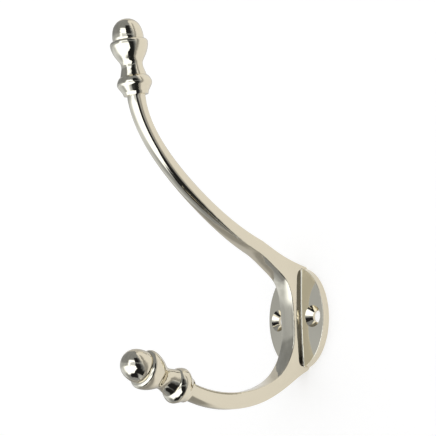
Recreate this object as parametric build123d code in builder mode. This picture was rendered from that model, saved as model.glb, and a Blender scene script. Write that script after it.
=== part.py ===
from build123d import *
import os

# Hat and coat hook, cast in one piece. Sizes in mm.
# The wall is the plane Y = 0, the hook stands out toward -Y, and Z points up.
# The origin is the middle of the back of the oval wall plate.

# Wall plate, an oval with a slightly domed front; its thickness at the middle and at its two sides
plate_width = 31.4
plate_height = 39.4
plate_middle = 3.4
plate_side = 2.95
plate_edge_radius = 0.25
screw_spacing = 20.0
screw_bore = 4.5
screw_head = 8.4

# The bar, flat sided at the root where it crosses the plate and nearly round at its two ends
root_width = 7.6
root_edge_radius = 0.4
upper_round = 6.2
lower_round = 6.5
root_corner_radius = 0.6

# Side view of the root, where the bar crosses the plate: (Y, Z) of its middle line
# at the two places where the flat-sided root hands over to the tapering arms
upper_cut = Vector(-23.05, 26.1)
upper_cut_angle = -26.9
upper_cut_depth = 5.05
lower_cut = Vector(-18.15, -27.77)
lower_cut_angle = 26.8
lower_cut_depth = 5.1
root_top = plate_height / 2 + 0.1
root_bottom = -plate_height / 2 - 0.1

# Finials, acorns turned from the tip down; the lower one is a little larger
acorn_length = 28.5
cap_radius = 5.8
cap_height = 8.0
cup_radius = 7.05
cup_height = 8.6
neck_radius = 4.0
collar_radius = 6.5
collar_height = 7.0
foot_radius = 4.55
foot_overlap = 0.5
lower_acorn_scale = 1.045

# Where each finial's foot sits in side view, and the way its tip points
upper_foot = Vector(-78.2, 78.0)
upper_lean = 9.4
lower_foot = Vector(-56.7, -29.05)
lower_rise = 20.3


def side_direction(angle):
    """Unit vector in side view, measured from +Y toward +Z in degrees."""
    return Vector(1, 0).rotate(Axis.Z, angle)


def side_normal(angle):
    """The side-view direction a quarter turn past side_direction."""
    return side_direction(angle + 90)


def across(line, position):
    """Plane square to an arm's middle line, with its first direction along X."""
    curve = Plane.YZ.from_local_coords(line)
    return Plane(origin=curve @ position, x_dir=(1, 0, 0), z_dir=curve % position)


# The acorn, standing on its foot with the tip up along Z; its outline is measured from the tip
lip = (cap_radius - 0.1, -cap_height)
brim = (cup_radius, -cap_height - 1.35)
waist = (neck_radius + 0.12, -cap_height - cup_height)
collar_start = (neck_radius + 0.95, collar_height - acorn_length)

with BuildPart() as acorn:
    with BuildSketch(Plane.XZ.shift_origin((0, 0, acorn_length))):
        with BuildLine():
            Spline(
                (0, 0),
                (2.2, -0.37),
                (3.7, -1.3),
                (5.4, -4.2),
                (cap_radius, -6.75),
                lip,
                tangents=((1, 0), (-0.12, -1)),
            )
            Spline(lip, (cup_radius - 0.25, -8.6), brim, tangents=((1, -0.2), (0, -1)))
            Spline(
                brim,
                (cup_radius - 0.3, -11.3),
                (cup_radius - 1.55, -14.2),
                waist,
                tangents=((0, -1), (-0.4, -1)),
            )
            Spline(
                waist,
                (neck_radius, -17.6),
                (neck_radius + 0.34, -19.3),
                collar_start,
                tangents=((-0.15, -1), (0.3, -1)),
            )
            Spline(
                collar_start,
                (collar_radius - 0.5, -22.6),
                (collar_radius, -24.4),
                (collar_radius - 0.7, -25.9),
                (foot_radius + 0.55, -27.0),
                (foot_radius, -acorn_length),
                tangents=((1, -0.4), (-0.25, -1)),
            )
            Line((foot_radius, -acorn_length), (0, -acorn_length))
            Line((0, -acorn_length), (0, 0))
        make_face()
    revolve(axis=Axis.Z)

# Side view of the root: hollow front, ends square to the arm, and flat on the wall behind
upper_half = side_normal(upper_cut_angle) * (upper_cut_depth / 2)
lower_half = side_normal(lower_cut_angle) * (lower_cut_depth / 2)
upper_front = upper_cut - upper_half
upper_back = upper_cut + upper_half
lower_front = lower_cut + lower_half
lower_back = lower_cut - lower_half

with BuildPart() as root:
    with BuildSketch(Plane.YZ):
        with BuildLine():
            Spline(
                upper_front,
                (-16.2, 18.6),
                (-10.5, 13.7),
                (-7.4, 1.0),
                (-8.0, -11.5),
                (-12.3, -19.9),
                lower_front,
                tangents=(side_direction(upper_cut_angle), -side_direction(lower_cut_angle)),
            )
            Line(lower_front, lower_back)
            Spline(
                lower_back,
                (-8.3, root_bottom - 5.1),
                (-2.2, root_bottom - 1.35),
                (0, root_bottom),
                tangents=(side_direction(lower_cut_angle), side_direction(lower_cut_angle + 18)),
            )
            Line((0, root_bottom), (0, root_top))
            Spline(
                (0, root_top),
                (-9.3, root_top + 2.7),
                upper_back,
                tangents=(-side_direction(upper_cut_angle + 13), -side_direction(upper_cut_angle)),
            )
            Line(upper_back, upper_front)
        make_face()
    extrude(amount=root_width / 2, both=True)
    fillet(root.edges().filter_by(GeomType.BSPLINE), radius=root_edge_radius)

# Middle lines of the two arms in side view, from the root out to the stem of each acorn
upper_tip_way = side_direction(90 + upper_lean)
lower_tip_way = side_direction(180 - lower_rise)
upper_end = upper_foot + upper_tip_way * foot_overlap
lower_end = lower_foot + lower_tip_way * foot_overlap

with BuildLine() as upper_line:
    Spline(
        upper_cut,
        (-39.7, 34.85),
        (-56.9, 47.0),
        (-70.55, 61.4),
        upper_end,
        tangents=(-side_direction(upper_cut_angle), upper_tip_way),
    )

with BuildLine() as lower_line:
    Spline(
        lower_cut,
        (-28.5, -31.45),
        (-39.0, -32.55),
        (-48.0, -31.6),
        lower_end,
        tangents=(-side_direction(lower_cut_angle), lower_tip_way),
    )

# Cross sections along each arm: position on the line, width, depth and corner radius
upper_sections = [
    (0.0, root_width, upper_cut_depth, root_edge_radius),
    (0.3, 6.8, 5.15, 1.5),
    (0.6, 6.3, 5.65, 2.3),
    (0.88, upper_round, upper_round, 2.8),
    (1.0, upper_round + 0.4, upper_round + 0.4, 3.0),
]
lower_sections = [
    (0.0, root_width, lower_cut_depth, root_edge_radius),
    (0.35, 6.8, 6.0, 1.4),
    (0.7, lower_round, lower_round, 2.5),
    (1.0, lower_round + 0.3, lower_round + 0.3, 3.0),
]

with BuildPart() as upper_arm:
    for position, width, depth, corner in upper_sections:
        with BuildSketch(across(upper_line.line, position)):
            RectangleRounded(width, depth, corner)
    loft()

with BuildPart() as lower_arm:
    for position, width, depth, corner in lower_sections:
        with BuildSketch(across(lower_line.line, position)):
            RectangleRounded(width, depth, corner)
    loft()

# The dome is part of a large sphere, which also sets the thickness at the screws
dome_sag = plate_middle - plate_side
dome_radius = ((plate_width / 2) ** 2 + dome_sag**2) / (2 * dome_sag)
screw_sag = dome_radius - (dome_radius**2 - (screw_spacing / 2) ** 2) ** 0.5
screw_depth = plate_middle - screw_sag

# The whole casting
with BuildPart() as hook:
    with BuildSketch(Plane.XZ):
        Ellipse(plate_width / 2, plate_height / 2)
    extrude(amount=plate_middle)
    with Locations((0, dome_radius - plate_middle, 0)):
        Sphere(dome_radius, mode=Mode.INTERSECT)
    fillet(hook.faces().filter_by(GeomType.SPHERE).edges(), radius=plate_edge_radius)
    add(root.part)
    # the arcs where the root's sides meet the dome are the only circular edges so far
    fillet(hook.edges().filter_by(GeomType.CIRCLE), radius=root_corner_radius)
    add(upper_arm.part)
    add(lower_arm.part)
    with Locations(Location((0, upper_foot.X, upper_foot.Y), (upper_lean, 0, 0))):
        add(acorn.part)
    with Locations(Location((0, lower_foot.X, lower_foot.Y), (90 - lower_rise, 0, 0))):
        add(scale(acorn.part, by=lower_acorn_scale, mode=Mode.PRIVATE))
    with Locations(Plane(origin=(0, -screw_depth, 0), x_dir=(1, 0, 0), z_dir=(0, -1, 0))):
        with GridLocations(screw_spacing, 0, 2, 1):
            CounterSinkHole(screw_bore / 2, screw_head / 2, depth=screw_depth)

hook.part.label = "hook"

os.makedirs("parts", exist_ok=True)
export_step(hook.part, "parts/hook.step")
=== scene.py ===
import math
import bmesh
import bpy
import numpy as np
from mathutils import Matrix, Vector


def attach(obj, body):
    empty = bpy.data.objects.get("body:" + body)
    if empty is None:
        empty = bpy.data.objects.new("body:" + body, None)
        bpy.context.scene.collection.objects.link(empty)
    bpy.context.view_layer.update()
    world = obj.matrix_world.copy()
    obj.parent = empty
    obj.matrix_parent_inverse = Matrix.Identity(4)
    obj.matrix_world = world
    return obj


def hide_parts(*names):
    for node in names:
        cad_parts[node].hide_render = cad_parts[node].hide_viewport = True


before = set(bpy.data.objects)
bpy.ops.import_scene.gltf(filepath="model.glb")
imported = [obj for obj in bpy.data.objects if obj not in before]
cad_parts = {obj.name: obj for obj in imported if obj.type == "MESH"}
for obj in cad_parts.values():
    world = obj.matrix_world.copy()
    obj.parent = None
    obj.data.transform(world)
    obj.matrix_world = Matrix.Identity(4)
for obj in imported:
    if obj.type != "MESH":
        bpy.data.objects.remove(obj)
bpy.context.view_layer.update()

# Camera, as fitted to the photograph: angles in degrees, lengths in metres, lens in millimetres
CAMERA_AZIMUTH = 50.99
CAMERA_ELEVATION = -9.58
CAMERA_ROLL = 1.0
CAMERA_DISTANCE = 0.620
CAMERA_TARGET = Vector((0.0, -0.0407, 0.0359))
CAMERA_NEAR = 0.01
CAMERA_LENS = 136.24
CAMERA_SENSOR = 36.0

# Studio: the white wall behind the hook and the pale floor under it, in metres
WALL_HALF_WIDTH = 0.45
WALL_HALF_HEIGHT = 0.60
WALL_GAP = 0.0002
WALL_GREY = (0.5, 0.5, 0.5)
WALL_GLOW = 0.62
FLOOR_HEIGHT = -0.30
FLOOR_REACH = 1.2
CORNERS = ((-1, -1), (1, -1), (1, 1), (-1, 1))

# The painted light on the wall, which only the metal mirrors: the part that glows as if lit, and a
# dimmer painted glow to the left of it. Each pair is a soft edge in metres, from no glow to full glow:
# left and right along X, bottom along Z
PAINTED_GLOW_LEFT = (-0.09, 0.005)
PAINTED_GLOW_RIGHT = (0.23, 0.11)
PAINTED_GLOW_BOTTOM = (-0.16, -0.10)
PAINTED_DIM_LEVEL = 0.35
PAINTED_DIM_RIGHT = (-0.03, -0.06)
PAINTED_DIM_BOTTOM = (-0.06, -0.02)

# The surroundings that the metal mirrors, by direction in degrees: azimuth is 0 straight in front
# of the hook and grows toward +X, and elevation grows upward. A level of 1 is white. An EDGE is
# where a change begins and where it is complete; SIDES and HEIGHTS are the two ends of a stretch
# and how wide they blur

# The grey room: dimmer high up and low down, brighter to the left and on the ground to the right,
# and white behind
ROOM_LEVEL = 0.56
HIGH_LEVEL = 0.33
HIGH_EDGE = (10, 18)
LOW_LEVEL = 0.36
LOW_EDGE = (-36, -50)
LEFT_LEVEL = 0.86
LEFT_SIDES = (-140, 0, 20)
LEFT_HEIGHTS = (-34, -3, 10)
GROUND_LEVEL = 0.62
GROUND_SIDE_EDGE = (55, 75)
GROUND_TOP_EDGE = (-60, -68)
WHITE_LEVEL = 1.04
WHITE_EDGE = (88, 112)

# Unevenness of the grey room: its scale and detail, and what it multiplies the levels by
UNEVEN_SCALE = 4.0
UNEVEN_DETAIL = 2.0
UNEVEN_LEAST = 0.7
UNEVEN_RANGE = 0.6

# The lamp: its right edge leans, further right lower down, and its lower right corner is cut off;
# a dimmer band crosses it at eye level
LAMP_LEVEL = 2.0
LAMP_LEAN = 0.35
LAMP_EDGE = (51, 48)
CORNER_SLOPE = -1.2
CORNER_EDGE = (106, 100)
LAMP_LOW_SIDES = (-42, 200, 26)
LAMP_LOW_HEIGHTS = (-58, -4, 10)
LAMP_HIGH_SIDES = (-6, 200, 16)
LAMP_HIGH_HEIGHTS = (-30, 31, 8)
BAND_LEVEL = 0.9
BAND_SIDES = (10, 200, 16)
BAND_HEIGHTS = (-8, 14, 6)

# The dark studio to the right of the lamp and below it, with a paler stripe
DARK_LEVEL = 0.02
DARK_HEIGHTS = (-63, 50, 10)
DARK_LEFT_EDGE = (20, 40)
DARK_RIGHT_EDGE = (108, 74)
DARK_LOW_SIDES = (-72, 62, 24)
DARK_LOW_EDGE = (-57, -63)
STRIPE_LEVEL = 0.26
STRIPE_HEIGHTS = (3, 13, 4)

# Colour of the lamp and the room beside the warmer white
COOL = (0.93, 1.0, 1.11)

# The hook's skin, in metres: how close two corners are one, and how far two faces may turn
# from each other before they meet in an edge
WELD = 0.000001
SHARP_ANGLE = math.radians(28)

# The flat-sided bar: where it is, how its front and sides are told by the way that a face looks,
# how far polishing has rounded them, and where its sides are cut for that
BAR_HALF_WIDTH = 0.0038
BAR_SLACK = 0.0001
BAR_LOW = -0.030
BAR_HIGH = 0.045
SIDE_LEAST_X = 0.99
FRONT_MOST_X = 0.1
FRONT_MOST_Y = -0.3
FRONT_ROUND = 0.20
SIDE_ROUND = 0.24
SIDE_START = -0.0040
SIDE_DEPTH = 0.0016
SIDE_TOP = 0.021
SIDE_FADE = 0.006
SIDE_CUTS = (0.2, 0.5, 0.8, 1.0, 1.4)
CUT_REACH = 0.006

# The two arms in side view, (Y, Z) in metres from the root outward, the way that each end points
# in degrees, and position, width and depth along them; they are shaded as bars with round sections
UPPER_POINTS = [(-0.02305, 0.0261), (-0.0397, 0.03485), (-0.0569, 0.0470), (-0.07055, 0.0614),
                (-0.07828, 0.07849)]
UPPER_ENDS = (153.1, 99.4)
UPPER_SIZES = [(0.0, 0.0076, 0.00505), (0.3, 0.0068, 0.00515), (0.6, 0.0063, 0.00565),
               (1.0, 0.0066, 0.0066)]
LOWER_POINTS = [(-0.01815, -0.02777), (-0.0285, -0.03145), (-0.0390, -0.03255), (-0.0480, -0.0316),
                (-0.05717, -0.02888)]
LOWER_ENDS = (206.8, 159.7)
LOWER_SIZES = [(0.0, 0.0076, 0.0051), (0.35, 0.0068, 0.0060), (0.7, 0.0065, 0.0065),
               (1.0, 0.0068, 0.0068)]
LINE_STEPS = 60

# Which points belong to an arm: how far from its line and past its ends, and up to which position
ARM_REACH = 0.0048
ARM_SLACK = 0.0004
ARM_LAST = 0.985

# The round section is a superellipse of this power, and comes in fully at this position
ROUND_POWER = 2.6
ROUND_START = 0.65

# What polished nickel keeps of the red, green and blue light that it mirrors
NICKEL = (0.686, 0.624, 0.491)

# Its surface: how often the casting's waves, the polishing strokes and the haze repeat in a metre
# along X, Y and Z, their detail, the depth of waves and strokes in metres, where the haze starts
# and is full, and the roughness of clear and of hazy places
WAVES = (150, 150, 110)
WAVE_DETAIL = 1.0
WAVE_DEPTH = 0.00004
STROKES = (900, 500, 45)
STROKE_DETAIL = 2.0
STROKE_DEPTH = 0.000003
HAZE = (260, 260, 260)
HAZE_DETAIL = 3.0
HAZE_START = 0.35
HAZE_FULL = 0.7
CLEAR_ROUGHNESS = 0.035
HAZY_ROUGHNESS = 0.085


def link(tree, output, socket):
    tree.links.new(output, socket)


def fill(tree, socket, value):
    """Gives a socket a number or another node's output."""
    if isinstance(value, (int, float)):
        socket.default_value = value
    else:
        link(tree, value, socket)


def math_node(tree, operation, first, second=0.0):
    """A Math node; each input is a number or another node's output."""
    node = tree.nodes.new("ShaderNodeMath")
    node.operation = operation
    fill(tree, node.inputs[0], first)
    fill(tree, node.inputs[1], second)
    return node.outputs[0]


def times(tree, first, second):
    return math_node(tree, "MULTIPLY", first, second)


def step(tree, value, start, end):
    """Rises smoothly from 0 at start to 1 at end."""
    node = tree.nodes.new("ShaderNodeMapRange")
    node.interpolation_type = "SMOOTHSTEP"
    node.inputs["From Min"].default_value = start
    node.inputs["From Max"].default_value = end
    link(tree, value, node.inputs["Value"])
    return node.outputs["Result"]


def window(tree, value, low, high, blur):
    """1 between low and high, with soft edges blur wide."""
    rise = step(tree, value, low - blur / 2, low + blur / 2)
    fall = step(tree, value, high + blur / 2, high - blur / 2)
    return times(tree, rise, fall)


def field(tree, azimuth, elevation, sides, heights):
    """1 inside a soft-edged stretch of the surroundings."""
    return times(tree, window(tree, azimuth, *sides), window(tree, elevation, *heights))


def mixed(tree, base, level, mask):
    """base where mask is 0 and level where it is 1."""
    node = tree.nodes.new("ShaderNodeMix")
    node.data_type = "FLOAT"
    fill(tree, node.inputs[0], mask)
    fill(tree, node.inputs[2], base)
    fill(tree, node.inputs[3], level)
    return node.outputs[0]


def make_camera():
    azimuth = math.radians(CAMERA_AZIMUTH)
    elevation = math.radians(CAMERA_ELEVATION)
    roll = math.radians(CAMERA_ROLL)
    back = Vector((math.sin(azimuth) * math.cos(elevation), -math.cos(azimuth) * math.cos(elevation),
                   math.sin(elevation)))
    level = Vector((math.cos(azimuth), math.sin(azimuth), 0.0))
    upright = back.cross(level)
    right = math.cos(roll) * level - math.sin(roll) * upright
    up = math.sin(roll) * level + math.cos(roll) * upright
    data = bpy.data.cameras.new("camera")
    data.lens = CAMERA_LENS
    data.sensor_width = CAMERA_SENSOR
    data.clip_start = CAMERA_NEAR
    camera = bpy.data.objects.new("camera", data)
    bpy.context.scene.collection.objects.link(camera)
    turn = Matrix((right, up, back)).transposed().to_4x4()
    camera.matrix_world = Matrix.Translation(CAMERA_TARGET + back * CAMERA_DISTANCE) @ turn
    bpy.context.scene.camera = camera


def room_level(tree, place, azimuth, elevation):
    """The uneven grey room, dimmer high and low, brighter to the left and on the ground."""
    noise_node = tree.nodes.new("ShaderNodeTexNoise")
    noise_node.inputs["Scale"].default_value = UNEVEN_SCALE
    noise_node.inputs["Detail"].default_value = UNEVEN_DETAIL
    link(tree, place, noise_node.inputs["Vector"])
    uneven = math_node(tree, "ADD", UNEVEN_LEAST, times(tree, noise_node.outputs["Fac"], UNEVEN_RANGE))
    room = mixed(tree, ROOM_LEVEL, HIGH_LEVEL, step(tree, elevation, *HIGH_EDGE))
    room = mixed(tree, room, LOW_LEVEL, step(tree, elevation, *LOW_EDGE))
    left = field(tree, azimuth, elevation, LEFT_SIDES, LEFT_HEIGHTS)
    room = mixed(tree, room, LEFT_LEVEL, left)
    ground = times(tree, step(tree, azimuth, *GROUND_SIDE_EDGE), step(tree, elevation, *GROUND_TOP_EDGE))
    room = mixed(tree, room, GROUND_LEVEL, ground)
    return times(tree, room, uneven)


def lamp_and_dark(tree, level, azimuth, elevation, leaned):
    """Adds the lamp and the dark studio beside it and below it to the level of the surroundings."""
    corner = math_node(tree, "ADD", azimuth, times(tree, elevation, CORNER_SLOPE))
    lamp_side = times(tree, step(tree, leaned, *LAMP_EDGE), step(tree, corner, *CORNER_EDGE))
    low_lamp = field(tree, azimuth, elevation, LAMP_LOW_SIDES, LAMP_LOW_HEIGHTS)
    high_lamp = field(tree, azimuth, elevation, LAMP_HIGH_SIDES, LAMP_HIGH_HEIGHTS)
    lamp = times(tree, lamp_side, math_node(tree, "MAXIMUM", low_lamp, high_lamp))
    level = mixed(tree, level, LAMP_LEVEL, lamp)
    band = field(tree, azimuth, elevation, BAND_SIDES, BAND_HEIGHTS)
    level = mixed(tree, level, BAND_LEVEL, times(tree, lamp_side, band))

    beside = times(tree, step(tree, leaned, *DARK_RIGHT_EDGE), window(tree, elevation, *DARK_HEIGHTS))
    dark_side = times(tree, math_node(tree, "SUBTRACT", 1.0, lamp_side), beside)
    dark_side = times(tree, dark_side, step(tree, azimuth, *DARK_LEFT_EDGE))
    dark_low = times(tree, window(tree, azimuth, *DARK_LOW_SIDES), step(tree, elevation, *DARK_LOW_EDGE))
    dark = math_node(tree, "MAXIMUM", dark_side, dark_low)
    dark_level = mixed(tree, DARK_LEVEL, STRIPE_LEVEL, window(tree, elevation, *STRIPE_HEIGHTS))
    return mixed(tree, level, dark_level, dark)


def make_world():
    """The studio round the hook, which its polish mirrors: a grey room with a big soft lamp in
    front and below, darkness beyond that lamp's right and lower edges, and white behind."""
    world = bpy.data.worlds.new("studio")
    bpy.context.scene.world = world
    world.use_nodes = True
    tree = world.node_tree
    tree.nodes.clear()
    place = tree.nodes.new("ShaderNodeTexCoord").outputs["Generated"]
    parts = tree.nodes.new("ShaderNodeSeparateXYZ")
    link(tree, place, parts.inputs[0])
    x, y, z = parts.outputs
    turn = math_node(tree, "ARCTAN2", x, times(tree, y, -1.0))
    azimuth = times(tree, turn, 180 / math.pi)
    elevation = times(tree, math_node(tree, "ARCSINE", z), 180 / math.pi)
    leaned = math_node(tree, "ADD", azimuth, times(tree, elevation, LAMP_LEAN))
    white = step(tree, leaned, *WHITE_EDGE)
    level = mixed(tree, room_level(tree, place, azimuth, elevation), WHITE_LEVEL, white)
    level = lamp_and_dark(tree, level, azimuth, elevation, leaned)

    tint = tree.nodes.new("ShaderNodeMix")
    tint.data_type = "RGBA"
    link(tree, white, tint.inputs["Factor"])
    tint.inputs["A"].default_value = (*COOL, 1)
    tint.inputs["B"].default_value = (1, 1, 1, 1)

    # the metal mirrors these levels, and everything else sees plain white
    mirrored = tree.nodes.new("ShaderNodeBackground")
    link(tree, level, mirrored.inputs["Strength"])
    link(tree, tint.outputs["Result"], mirrored.inputs["Color"])
    plain = tree.nodes.new("ShaderNodeBackground")
    plain.inputs["Color"].default_value = (1, 1, 1, 1)
    plain.inputs["Strength"].default_value = 1.0
    path = tree.nodes.new("ShaderNodeLightPath")
    choose = tree.nodes.new("ShaderNodeMixShader")
    link(tree, path.outputs["Is Glossy Ray"], choose.inputs[0])
    link(tree, plain.outputs[0], choose.inputs[1])
    link(tree, mirrored.outputs[0], choose.inputs[2])
    out = tree.nodes.new("ShaderNodeOutputWorld")
    link(tree, choose.outputs[0], out.inputs["Surface"])


def backdrop_material(name):
    """White to the camera apart from the hook's shadow, with painted light that only the metal mirrors:
    a glowing part and a dimmer painted glow left of it; clear from behind."""
    material = bpy.data.materials.new(name)
    material.use_nodes = True
    tree = material.node_tree
    tree.nodes.clear()
    place = tree.nodes.new("ShaderNodeTexCoord").outputs["Object"]
    parts = tree.nodes.new("ShaderNodeSeparateXYZ")
    link(tree, place, parts.inputs[0])
    x, _, z = parts.outputs
    # painted light: to the metal's reflections the wall glows in this part as if lit, fading to the
    # plain grey wall beyond it
    painted_glow = times(tree, step(tree, x, *PAINTED_GLOW_LEFT), step(tree, x, *PAINTED_GLOW_RIGHT))
    # painted light: a dimmer glowing patch on the wall to the left, seen only in the metal's reflections
    painted_dim = times(tree, step(tree, x, *PAINTED_DIM_RIGHT), step(tree, z, *PAINTED_DIM_BOTTOM))
    painted_glow = math_node(tree, "MAXIMUM", painted_glow, times(tree, painted_dim, PAINTED_DIM_LEVEL))
    painted_glow = times(tree, painted_glow, step(tree, z, *PAINTED_GLOW_BOTTOM))

    path = tree.nodes.new("ShaderNodeLightPath")
    # the painted glow reaches glossy rays only; the camera sees the even white glow
    mirrored = times(tree, path.outputs["Is Glossy Ray"], times(tree, painted_glow, WALL_GLOW))
    shown = times(tree, path.outputs["Is Camera Ray"], WALL_GLOW)
    glow = tree.nodes.new("ShaderNodeEmission")
    link(tree, math_node(tree, "ADD", mirrored, shown), glow.inputs["Strength"])
    matt = tree.nodes.new("ShaderNodeBsdfDiffuse")
    matt.inputs["Color"].default_value = (*WALL_GREY, 1)
    both = tree.nodes.new("ShaderNodeAddShader")
    link(tree, matt.outputs[0], both.inputs[0])
    link(tree, glow.outputs[0], both.inputs[1])

    side = tree.nodes.new("ShaderNodeNewGeometry")
    clear = tree.nodes.new("ShaderNodeBsdfTransparent")
    choose = tree.nodes.new("ShaderNodeMixShader")
    link(tree, side.outputs["Backfacing"], choose.inputs[0])
    link(tree, both.outputs[0], choose.inputs[1])
    link(tree, clear.outputs[0], choose.inputs[2])
    out = tree.nodes.new("ShaderNodeOutputMaterial")
    link(tree, choose.outputs[0], out.inputs["Surface"])
    return material


def quad(name, corners, material):
    mesh = bpy.data.meshes.new(name)
    mesh.from_pydata(corners, [], [(0, 1, 2, 3)])
    mesh.materials.append(material)
    obj = bpy.data.objects.new(name, mesh)
    bpy.context.scene.collection.objects.link(obj)
    return obj


def make_stage():
    """The wall, and a floor that the metal doesn't mirror."""
    wall_corners = [(x * WALL_HALF_WIDTH, WALL_GAP, z * WALL_HALF_HEIGHT) for x, z in CORNERS]
    quad("wall", wall_corners, backdrop_material("wall_white"))
    floor_corners = [(x * FLOOR_REACH, y * FLOOR_REACH, FLOOR_HEIGHT) for x, y in CORNERS]
    floor = quad("floor", floor_corners, backdrop_material("floor_white"))
    floor.visible_glossy = False


def curve_slopes(points, gaps, start, end):
    """The slopes at the points of the smooth curve through them, with the two end slopes given."""
    count = len(points)
    matrix = np.eye(count)
    wanted = np.zeros((count, 2))
    wanted[0], wanted[-1] = start, end
    for i in range(1, count - 1):
        before, after = gaps[i - 1], gaps[i]
        matrix[i, i - 1:i + 2] = (1 / before, 2 / before + 2 / after, 1 / after)
        wanted[i] = 3 * ((points[i] - points[i - 1]) / before**2
                         + (points[i + 1] - points[i]) / after**2)
    return np.linalg.solve(matrix, wanted)


def middle_line(points, start, end):
    """Places, directions and positions along the smooth curve through an arm's points."""
    points = np.array(points, dtype=float)
    gaps = np.linalg.norm(np.diff(points, axis=0), axis=1)
    slopes = curve_slopes(points, gaps, start, end)
    places = []
    # a cubic between each two points, from their places and slopes
    for i, gap in enumerate(gaps):
        for t in np.linspace(0, 1, LINE_STEPS, endpoint=False):
            places.append((2 * t**3 - 3 * t**2 + 1) * points[i] + (t**3 - 2 * t**2 + t) * gap * slopes[i]
                          + (3 * t**2 - 2 * t**3) * points[i + 1] + (t**3 - t**2) * gap * slopes[i + 1])
    places.append(points[-1])
    places = np.array(places)
    ways = np.gradient(places, axis=0)
    ways /= np.linalg.norm(ways, axis=1)[:, None]
    along = np.concatenate(([0.0], np.cumsum(np.linalg.norm(np.diff(places, axis=0), axis=1))))
    return places, ways, along / along[-1]


def side_way(angle):
    """The direction at an angle in side view, from +Y toward +Z in degrees."""
    return np.array((math.cos(math.radians(angle)), math.sin(math.radians(angle))))


def clamped(value):
    return min(1.0, max(0.0, value))


def ease(value):
    value = clamped(value)
    return value * value * (3 - 2 * value)


class Arm:
    """One arm of the hook: its middle line in side view and its width and depth along it."""

    def __init__(self, points, ends, sizes):
        start, end = ends
        self.places, self.ways, self.along = middle_line(points, side_way(start), side_way(end))
        self.positions, self.widths, self.depths = zip(*sizes)

    def round_normal(self, spot):
        """The normal of a rounded bar at a point, and how much of it to use; None off the arm."""
        flat = np.array((spot.y, spot.z))
        nearest = int(np.argmin(np.sum((self.places - flat) ** 2, axis=1)))
        offset = flat - self.places[nearest]
        way = self.ways[nearest]
        position = self.along[nearest]
        if abs(np.dot(offset, way)) > ARM_SLACK or np.linalg.norm(offset) > ARM_REACH:
            return None
        if position > ARM_LAST:
            return None
        across = np.array((-way[1], way[0]))
        width = float(np.interp(position, self.positions, self.widths))
        depth = float(np.interp(position, self.positions, self.depths))
        u = 2 * spot.x / width
        v = 2 * float(np.dot(offset, across)) / depth
        power = ROUND_POWER - 1
        steep = across * (math.copysign(abs(v) ** power, v) / depth)
        normal = Vector((math.copysign(abs(u) ** power, u) / width, steep[0], steep[1])).normalized()
        return normal, ease(position / ROUND_START)


ARMS = (Arm(UPPER_POINTS, UPPER_ENDS, UPPER_SIZES), Arm(LOWER_POINTS, LOWER_ENDS, LOWER_SIZES))


def region(face):
    """Which part of the bar a face belongs to: its front, one of its sides, or anything else."""
    middle = face.calc_center_median()
    if abs(middle.x) > BAR_HALF_WIDTH + BAR_SLACK or not BAR_LOW < middle.z < BAR_HIGH:
        return "other"
    if abs(face.normal.x) > SIDE_LEAST_X and middle.y < SIDE_START:
        return "side"
    if abs(face.normal.x) < FRONT_MOST_X and face.normal.y < FRONT_MOST_Y:
        return "front"
    return "other"


def welded_skin(node):
    """A copy of the CAD mesh with its corners joined and the sides of its bar cut in strips."""
    skin = bmesh.new()
    skin.from_mesh(node.data)
    bmesh.ops.remove_doubles(skin, verts=skin.verts, dist=WELD)
    for depth in SIDE_CUTS:
        cut = Vector((0.0, SIDE_START - depth * SIDE_DEPTH, 0.0))
        near = [face for face in skin.faces if abs(face.calc_center_median().x) < CUT_REACH]
        parts = dict.fromkeys(near)
        for face in near:
            parts.update(dict.fromkeys(face.edges))
            parts.update(dict.fromkeys(face.verts))
        bmesh.ops.bisect_plane(skin, geom=list(parts), plane_co=cut, plane_no=(0, 1, 0))
    bmesh.ops.triangulate(skin, faces=skin.faces)
    skin.normal_update()
    return skin


def joined_normal(face, vertex, areas):
    """The normal at a face's corner, shared with the faces there that it meets without an edge."""
    total = Vector((0.0, 0.0, 0.0))
    for other in vertex.link_faces:
        if other.normal.dot(face.normal) > math.cos(SHARP_ANGLE):
            total += other.normal * areas[other]
    return total.normalized()


def worn_normal(normal, spot, place):
    """A normal on the flat-sided bar, turned as polishing rounds its front and its sides."""
    if place == "front":
        return normal + Vector((FRONT_ROUND * spot.x / BAR_HALF_WIDTH, 0.0, 0.0))
    if place == "side":
        turn = clamped((SIDE_START - spot.y) / SIDE_DEPTH) * SIDE_ROUND
        low = clamped((SIDE_TOP - abs(spot.z)) / SIDE_FADE)
        return normal + Vector((0.0, -turn * low, 0.0))
    return normal


def polished_piece(node):
    """The CAD hook as one smooth skin, with the slight roundness that polishing gives flat faces."""
    skin = welded_skin(node)
    areas = {face: face.calc_area() for face in skin.faces}
    rounds = {}
    for vertex in skin.verts:
        for arm in ARMS:
            found = arm.round_normal(vertex.co)
            if found:
                rounds[vertex] = found
    normals = []
    for face in skin.faces:
        face.smooth = True
        place = region(face)
        for vertex in face.verts:
            normal = worn_normal(joined_normal(face, vertex, areas), vertex.co, place)
            if vertex in rounds:
                rounded, share = rounds[vertex]
                normal = normal.normalized().lerp(rounded, share)
            normals.append(normal.normalized())
    mesh = bpy.data.meshes.new("polished_hook")
    skin.to_mesh(mesh)
    skin.free()
    mesh.normals_split_custom_set(normals)
    piece = bpy.data.objects.new("polished_hook", mesh)
    bpy.context.scene.collection.objects.link(piece)
    return piece


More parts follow.
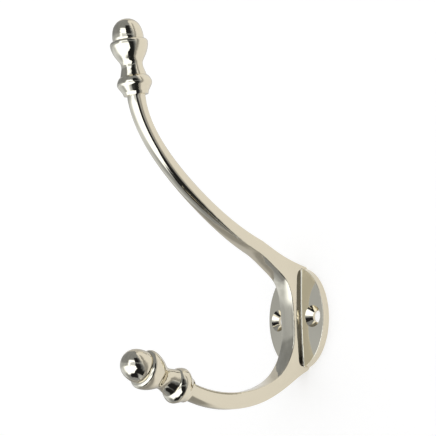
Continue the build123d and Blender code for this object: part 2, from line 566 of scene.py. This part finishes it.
def noise(tree, place, repeats, detail):
    """Noise over the object; repeats is how often it does so along X, Y and Z in a metre."""
    scaled = tree.nodes.new("ShaderNodeMapping")
    scaled.inputs["Scale"].default_value = repeats
    link(tree, place, scaled.inputs["Vector"])
    node = tree.nodes.new("ShaderNodeTexNoise")
    node.inputs["Scale"].default_value = 1.0
    node.inputs["Detail"].default_value = detail
    link(tree, scaled.outputs[0], node.inputs["Vector"])
    return node.outputs["Fac"]


def bump(tree, height, depth, before=None):
    """Bump of the given depth in metres, on top of an earlier one."""
    node = tree.nodes.new("ShaderNodeBump")
    node.inputs["Strength"].default_value = 1.0
    node.inputs["Distance"].default_value = depth
    link(tree, height, node.inputs["Height"])
    if before is not None:
        link(tree, before, node.inputs["Normal"])
    return node.outputs["Normal"]


def nickel_material():
    """Polished nickel on a casting: slow waves left by the casting, fine strokes left by the
    polishing wheel along the bar, and a little haze that comes and goes."""
    material = bpy.data.materials.new("polished_nickel")
    material.use_nodes = True
    tree = material.node_tree
    shader = tree.nodes["Principled BSDF"]
    place = tree.nodes.new("ShaderNodeTexCoord").outputs["Object"]
    surface = bump(tree, noise(tree, place, WAVES, WAVE_DETAIL), WAVE_DEPTH)
    surface = bump(tree, noise(tree, place, STROKES, STROKE_DETAIL), STROKE_DEPTH, surface)
    link(tree, surface, shader.inputs["Normal"])
    spread = tree.nodes.new("ShaderNodeMapRange")
    spread.inputs["From Min"].default_value = HAZE_START
    spread.inputs["From Max"].default_value = HAZE_FULL
    spread.inputs["To Min"].default_value = CLEAR_ROUGHNESS
    spread.inputs["To Max"].default_value = HAZY_ROUGHNESS
    link(tree, noise(tree, place, HAZE, HAZE_DETAIL), spread.inputs["Value"])
    link(tree, spread.outputs["Result"], shader.inputs["Roughness"])
    shader.inputs["Base Color"].default_value = (*NICKEL, 1)
    shader.inputs["Metallic"].default_value = 1.0
    return material


make_camera()
make_world()
make_stage()
hook = polished_piece(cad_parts["hook"])
hook.data.materials.append(nickel_material())
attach(hook, "root")
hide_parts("hook")

bpy.context.scene.view_settings.view_transform = "Standard"
